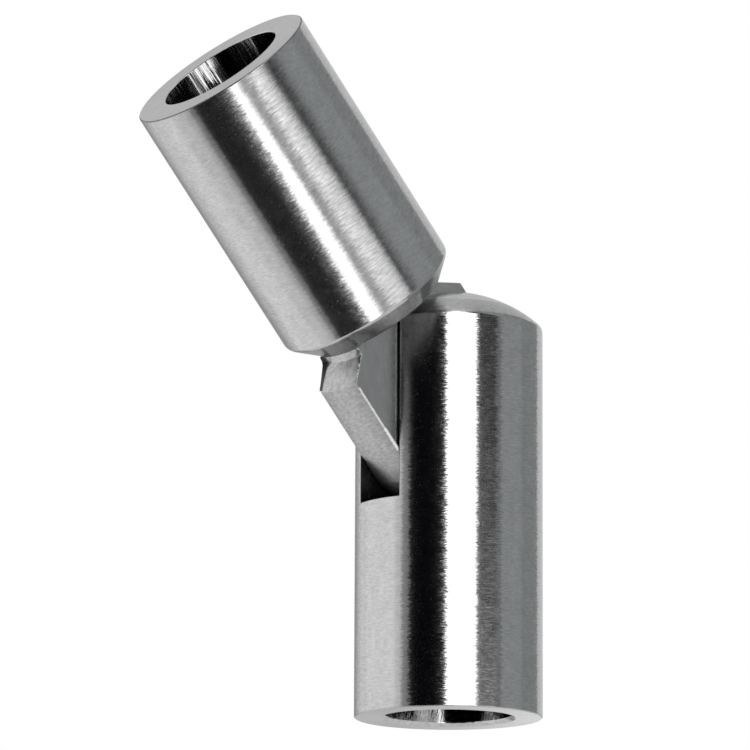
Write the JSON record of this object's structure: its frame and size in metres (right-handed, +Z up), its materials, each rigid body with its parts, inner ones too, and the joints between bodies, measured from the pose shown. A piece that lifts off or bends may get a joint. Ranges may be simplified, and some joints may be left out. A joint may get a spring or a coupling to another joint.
{
  "type": "adjustable handrail elbow",
  "caption": "Stainless elbow for a round handrail bar: a forked half and a tongued half, each with a blind bar socket, turning on a hinge screw.",
  "frame": {"origin": "centre of the lower socket's mouth, in the fork's lower end face", "axes": "+Z up the fork's axis, the hinge axis along Y, the sleeve leaning towards -X, screw heads on the +Y side"},
  "size_m": [0.0437, 0.018, 0.0652],
  "materials": {
    "fork_steel": "turned and brushed round the axis",
    "tongue_steel": "turned and brushed round the axis, milled flats",
    "screw_steel": "plain turned"
  },
  "bodies": {
    "fork_half": {"lower_fork": "fork_steel", "hinge_screw": "screw_steel", "lower_set_screw": "screw_steel"},
    "tongue_half": {"upper_tongue": "tongue_steel", "upper_set_screw": "screw_steel"}
  },
  "joints": [
    {"name": "elbow_hinge", "type": "hinge", "parent": "fork_half", "child": "tongue_half", "pos_m": [0, 0, 0.028], "axis": [0, -1, 0], "range_deg": [-87, 3]}
  ]
}
